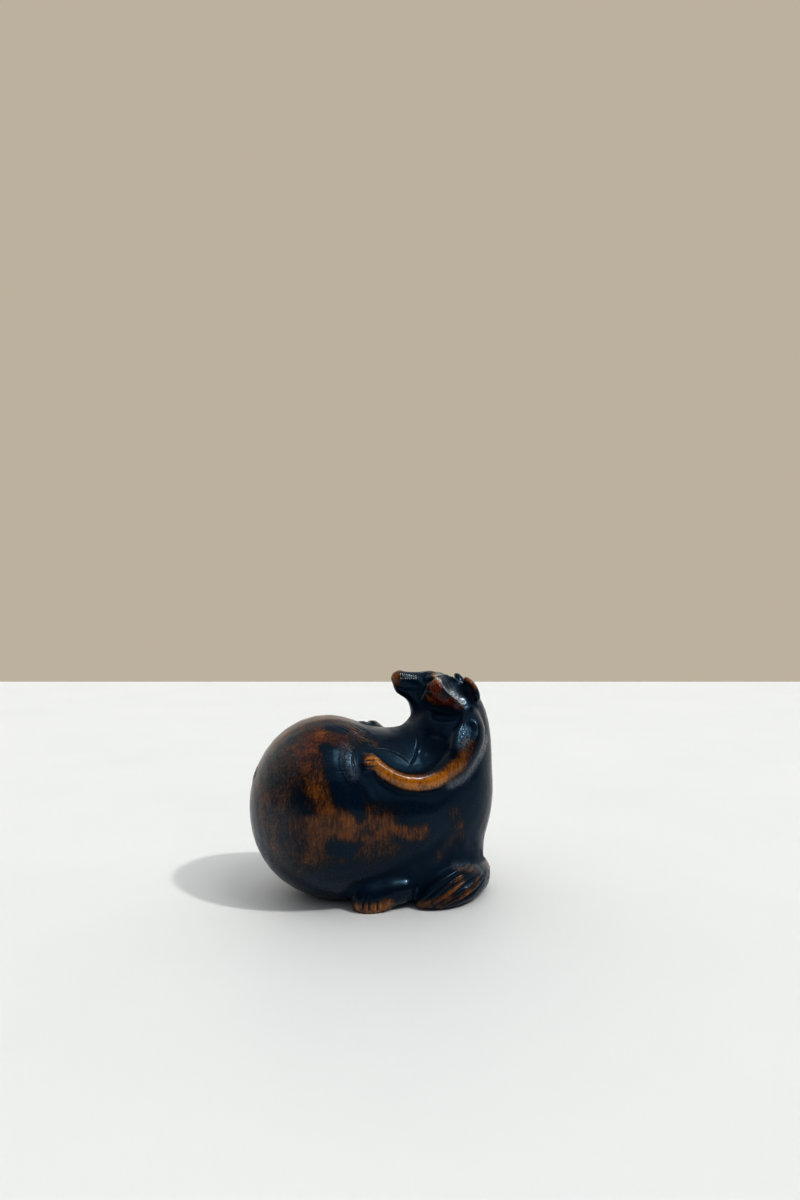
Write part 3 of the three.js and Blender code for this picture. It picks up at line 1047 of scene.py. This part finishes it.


# %% [markdown]
# ## Stained boxwood
#
# Boxwood is orange-yellow and so fine that its grain shows only as short upright streaks. The
# stain is near black; the blue in its colour here is partly a painted reflection of a bluish room.
# Between the two the wood goes through a deep red-brown, because a little stain is left in the
# pores. So one value, how much stain is gone, drives a colour ramp. Two colours mixed by a mask
# would be simpler, but the mixture would be grey. Streaks, blotches and flecks push that value up
# and down, which breaks the edge of each rubbed place as real wear does. Handling has waxed it: a
# thin clear coat, weaker in the hollows. A pale grey laid on in specks is painted glints and
# reflections.

# %% The finish
# The blue in this stain colour is partly a painted reflection of the bluish near side of the room.
STAIN_AND_BLUE_SHEEN = (0.0011, 0.0070, 0.0190)
# Pale grey for painted glints, highlights and reflections of the bright room.
PAINTED_SHEEN_GREY = (0.52, 0.55, 0.57)
RUDDY = (1.0, 0.46, 0.38)
WEAR_STOPS = [  # how much stain is gone, and the colour that shows
    (0.00, STAIN_AND_BLUE_SHEEN),
    (0.25, (0.0060, 0.0058, 0.0080)),
    (0.37, (0.027, 0.0105, 0.0040)),
    (0.50, (0.068, 0.0235, 0.0040)),
    (0.62, (0.126, 0.0450, 0.0060)),
    (0.76, (0.190, 0.066, 0.0060)),
    (1.00, (0.44, 0.165, 0.0040)),
]
RAMP_SHARE = 0.80  # how much of the ramp a value of 1 has passed
STREAK_STRETCH, SCRATCH_STRETCH = (3.1, 3.1, 0.48), (7.0, 7.0, 1.6)  # waves per millimetre
BUMP_HEIGHT, BUMP_STRENGTH = 0.05, 0.25


def stained_boxwood():
    material = bpy.data.materials.new("stained_boxwood")
    graph = Graph(material)
    worn, proud, ruddy, painted_sheen = (
        graph.node("ShaderNodeAttribute", {"attribute_name": name}, output="Fac")
        for name in ("worn", "proud", "ruddy", "painted_sheen")
    )
    place = graph.in_millimetres()
    streaks = graph.noise(graph.in_millimetres(STREAK_STRETCH), 1.0, 3, 0.65) - 0.5
    blotches = graph.noise(place, 0.34, 4) - 0.5
    fleck_noise = graph.noise(place, 1.9, 4, 0.65)
    flecks = fleck_noise - 0.5
    pores = fleck_noise.step(0.57, 0.68)
    specks = graph.noise(place, 3.6, 2, 0.6).step(0.46, 0.58)
    scratches = graph.noise(graph.in_millimetres(SCRATCH_STRETCH), 1.0, 3, 0.65)
    grit = graph.noise(place, 6.0, 3, 0.6)
    polished = worn.step(0.8, 1.1)
    hollow = 1 - proud.step(0.05, 0.45)

    gone = worn + streaks * 1.1 + blotches * 1.0 + flecks * (0.7 + polished * 0.7)
    gone = (gone - pores * (0.4 + polished * 0.25)) * RAMP_SHARE
    colour = graph.node("ShaderNodeValToRGB", {"stops": WEAR_STOPS}, {"Fac": gone})
    colour = graph.mix(ruddy, colour, (*RUDDY, 1), "MULTIPLY")
    colour = graph.mix(hollow * 0.85, colour, (*STAIN_AND_BLUE_SHEEN, 1))
    # Painted highlights and reflections: the pale grey is laid on in specks where that value is
    # set.
    colour = graph.mix(painted_sheen * (0.25 + 0.6 * specks), colour, (*PAINTED_SHEEN_GREY, 1))

    height = (scratches * 0.6 + grit * 0.4 + fleck_noise * 0.5) * (1 - polished * 0.5)
    relief = {"Strength": BUMP_STRENGTH, "Distance": BUMP_HEIGHT * MM, "Height": height}
    graph.surface(
        {
            "Base Color": colour,
            "Roughness": 0.27 + flecks * 0.3 + hollow * 0.3 + streaks * 0.15 - polished * 0.12,
            "Normal": graph.node("ShaderNodeBump", None, relief),
            "IOR": 1.40,
            "Specular Tint": (0.30, 0.66, 1.0, 1),
            "Coat Weight": 0.10 - hollow * 0.09 + polished * 0.8,
            "Coat Roughness": 0.09,
        }
    )
    print("the finish has", len(graph.tree.nodes), "nodes")
    return material


mesh.materials.clear()
mesh.materials.append(stained_boxwood())
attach(netsuke, "root")
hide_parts(FIGURE)

# %% [markdown]
# ## The table
#
# A netsuke stands on its own base, so it needs only a table: one face with a pale matt paint, a
# little mottled so that it doesn't look like paper. A round or endless floor would be as easy, but
# a table with a far edge gives the eye a level to judge the small figure by. It lies a hair below
# the base, because two faces in one place flicker.

# %% Table
VIEW_TURN = math.radians(81)
AHEAD = Vector((-math.sin(VIEW_TURN), math.cos(VIEW_TURN), 0))  # the way that the camera looks
ACROSS = Vector((math.cos(VIEW_TURN), math.sin(VIEW_TURN), 0))
TABLE_BACK, TABLE_REACH = 0.352, 1.6  # metres to the far edge, and to the others
TABLE_DROP = Vector((0, 0, 0.02 * MM))
PALE, PALER = (0.72, 0.735, 0.74, 1), (0.78, 0.79, 0.79, 1)


def pale_table():
    bm = bmesh.new()
    corners = [(-1, -TABLE_REACH), (1, -TABLE_REACH), (1, TABLE_BACK), (-1, TABLE_BACK)]
    places = [ACROSS * TABLE_REACH * x + AHEAD * y - TABLE_DROP for x, y in corners]
    bm.faces.new([bm.verts.new(place) for place in places])
    table = bpy.data.meshes.new("table_top")
    bm.to_mesh(table)
    bm.free()
    paint = bpy.data.materials.new("pale_paint")
    graph = Graph(paint)
    mottle = graph.noise(graph.in_millimetres(), 0.02, 4)
    graph.surface({"Base Color": graph.mix(mottle, PALE, PALER), "Roughness": 0.6})
    table.materials.append(paint)
    print("the table's far edge is", TABLE_BACK, "m away")
    return placed("table_top", table)


pale_table()

# %% [markdown]
# ## Light
#
# One soft sun comes from above, behind the left shoulder, and throws the shadow out in front of
# the belly. The rest is the light of a pale room. A polished dark thing shows less of its own
# colour than of what it mirrors, so the room is painted with care: bright behind the netsuke, dim
# and bluish on the viewer's side, and with one tall window over the sun, which draws the long
# highlights on the arm and shoulder. Area lamps could stand for all of these, but a world has no
# edges to hide. A wide fill lamp lifts the colours of the near side, and reflections leave it out.

# %% Light
SUN_FROM = Vector((0.39, 0.52, 0.76))
SUN_COLOUR, SUN_ENERGY, SUN_SPREAD = (1.0, 0.97, 0.92), 1.25, 3
FILL_FROM = Vector((0.9, -0.6, 0.5))
FILL_COLOUR, FILL_ENERGY, FILL_SPREAD = (1.0, 0.95, 0.87), 0.85, 150
WINDOW_TOP = Vector((0.345, 0.231, 0.913))  # the window reaches from the sun to here
FAR_WALL, NEAR_WALL = (1.17, 1.11, 1.02, 1), (0.022, 0.050, 0.095, 1)
CEILING, WINDOW = (0.62, 0.66, 0.70, 1), (9.5, 9.5, 9.3, 1)
BACKDROP = (0.585, 0.525, 0.43, 1)  # what shows beyond the table


def sun(name, origin, colour, energy, spread):
    light = bpy.data.lights.new(name, "SUN")
    light.color, light.energy, light.angle = colour, energy, math.radians(spread)
    lamp = placed(name, light)
    lamp.rotation_euler = origin.to_track_quat("Z", "Y").to_euler()
    return lamp


def room():
    world = bpy.data.worlds.new("pale_room")
    bpy.context.scene.world = world
    graph = Graph(world)
    direction = graph.node("ShaderNodeTexCoord", output="Generated")
    near = graph.part_along(direction, -AHEAD).step(-0.6, 0.25)
    high = graph.part_along(direction, (0, 0, 1)).step(0.45, 0.9)
    along = graph.part_along(direction, (SUN_FROM + WINDOW_TOP).normalized())
    aside = graph.part_along(direction, SUN_FROM.cross(WINDOW_TOP).normalized())
    window = along.step(0.965, 0.980) * (aside * aside).step(0.0070, 0.0030)
    lit = graph.mix(near, FAR_WALL, NEAR_WALL)
    lit = graph.mix(window, graph.mix(high, lit, CEILING), WINDOW)
    seen = graph.node("ShaderNodeLightPath", output="Is Camera Ray")
    colour = graph.mix(seen, lit, BACKDROP)
    shade = graph.node("ShaderNodeBackground", None, {"Color": colour, "Strength": 1.0})
    graph.node("ShaderNodeOutputWorld", None, {"Surface": shade})


sun("soft_sun", SUN_FROM, SUN_COLOUR, SUN_ENERGY, SUN_SPREAD)
fill = sun("soft_fill", FILL_FROM, FILL_COLOUR, FILL_ENERGY, FILL_SPREAD)
fill.visible_glossy = False
room()
sun_height = math.degrees(math.asin(SUN_FROM.normalized().z))
print("the sun stands", round(sun_height), "degrees high")

# %% [markdown]
# ## The camera
#
# A thing as small as this is looked at from near, here from about 14 cm with a wide lens, so its
# near side looms a little. A longer lens from farther off would flatten it. The camera is level,
# which keeps upright lines upright. A gamma below 1 then gives the picture the depth of tone that
# dark, waxed wood has to the eye.

# %% Camera
SENSOR, LENS = 36, 24.03
NEAREST, FARTHEST = 0.005, 10  # metres
STANDPOINT = Vector((138.3, -17.143, 50.1)) * MM
CONTRAST = 0.78


def camera():
    view = bpy.data.cameras.new("camera")
    view.lens, view.sensor_width, view.sensor_fit = LENS, SENSOR, "AUTO"
    view.clip_start, view.clip_end = NEAREST, FARTHEST
    eye = placed("camera", view)
    eye.location = STANDPOINT
    eye.rotation_euler = (math.pi / 2, 0, VIEW_TURN)
    return eye


scene = bpy.context.scene
scene.camera = camera()
scene.view_settings.view_transform = "Standard"
scene.view_settings.gamma = CONTRAST
print("the camera stands", round(STANDPOINT.length / MM), "mm from the middle of the base")
